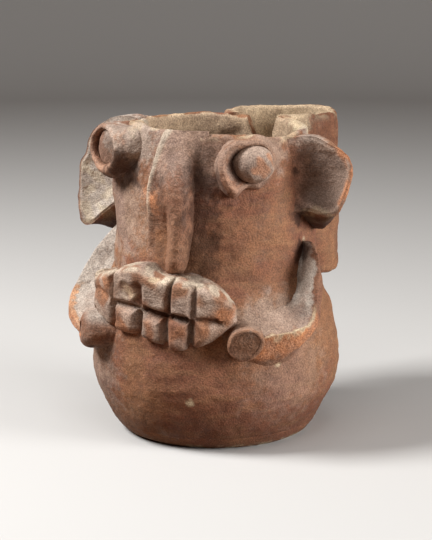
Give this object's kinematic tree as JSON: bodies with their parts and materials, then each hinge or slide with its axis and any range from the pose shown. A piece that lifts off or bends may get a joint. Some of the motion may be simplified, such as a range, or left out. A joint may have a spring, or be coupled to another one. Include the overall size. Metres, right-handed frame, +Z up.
{
  "type": "clay effigy jar",
  "caption": "Hand-built fired-clay effigy jar: wide neck with an applied face, ring eyes, ears and curved arms, round belly, and an upright tube behind that opens into the neck.",
  "frame": {"origin": "centre of the flat base, on the surface that the jar stands on", "axes": "+Z up along the axis of the jar, -Y towards the face, +X to the right of a viewer who looks at the face"},
  "size_m": [0.1774, 0.1862, 0.178],
  "materials": {
    "fired_clay": "matte"
  },
  "bodies": {
    "root": {"base_slab": "fired_clay", "belly_wall": "fired_clay", "neck_wall": "fired_clay", "tube_wall": "fired_clay", "tube_floor": "fired_clay", "nose_bar": "fired_clay", "mouth_slab": "fired_clay", "left_eye_ring": "fired_clay", "right_eye_ring": "fired_clay", "left_eye_pellet": "fired_clay", "right_eye_pellet": "fired_clay", "left_ear": "fired_clay", "right_ear": "fired_clay", "left_arm": "fired_clay", "right_arm": "fired_clay", "left_hand_disc": "fired_clay", "right_hand_disc": "fired_clay"}
  },
  "joints": []
}
